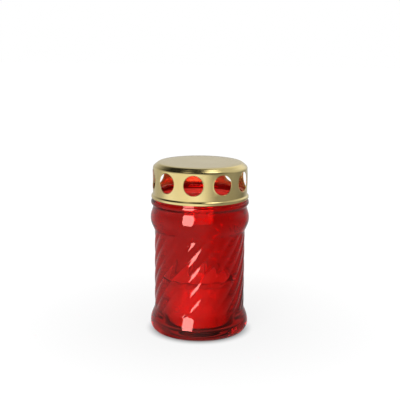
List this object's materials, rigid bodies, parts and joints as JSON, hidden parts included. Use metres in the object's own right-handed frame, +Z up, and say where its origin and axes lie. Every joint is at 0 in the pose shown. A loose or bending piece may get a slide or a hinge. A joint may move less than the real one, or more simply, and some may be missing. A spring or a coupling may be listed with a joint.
{
  "type": "sanctuary lamp",
  "caption": "Votive sanctuary lamp: red lacquered glass jar with twisted ribs, gold vented metal cap that lifts off, and a candle insert that lifts out.",
  "frame": {"origin": "centre of the circle that the jar stands on", "axes": "+Z up along the jar's axis; -Y is the front, where one vent of the cap faces"},
  "size_m": [0.07, 0.07, 0.122],
  "materials": {
    "red_glass": "clear pressed glass with a transparent red lacquer on its outside, glossy",
    "gold_tinplate": "drawn tinplate with a pale gold transparent lacquer, bright",
    "clear_plastic": "thin thermoformed clear plastic, glossy",
    "wax": "cast white candle wax, satin and translucent",
    "cotton": "braided cotton, waxed",
    "tin": "stamped tinplate, satin",
    "hot_glue": "set hot-melt glue, milky"
  },
  "bodies": {
    "jar": {"glass_jar": "red_glass"},
    "cap": {"vent_cap": "gold_tinplate"},
    "candle": {"insert_cup": "clear_plastic", "wax_fill": "wax", "wick": "cotton", "wick_tab": "tin", "glue_dot": "hot_glue"}
  },
  "joints": [
    {"name": "cap_lift", "type": "slide", "parent": "jar", "child": "cap", "axis": [0, 0, 1], "range_m": [0, 0.04]},
    {"name": "candle_lift", "type": "slide", "parent": "jar", "child": "candle", "axis": [0, 0, 1], "range_m": [0, 0.075]}
  ]
}
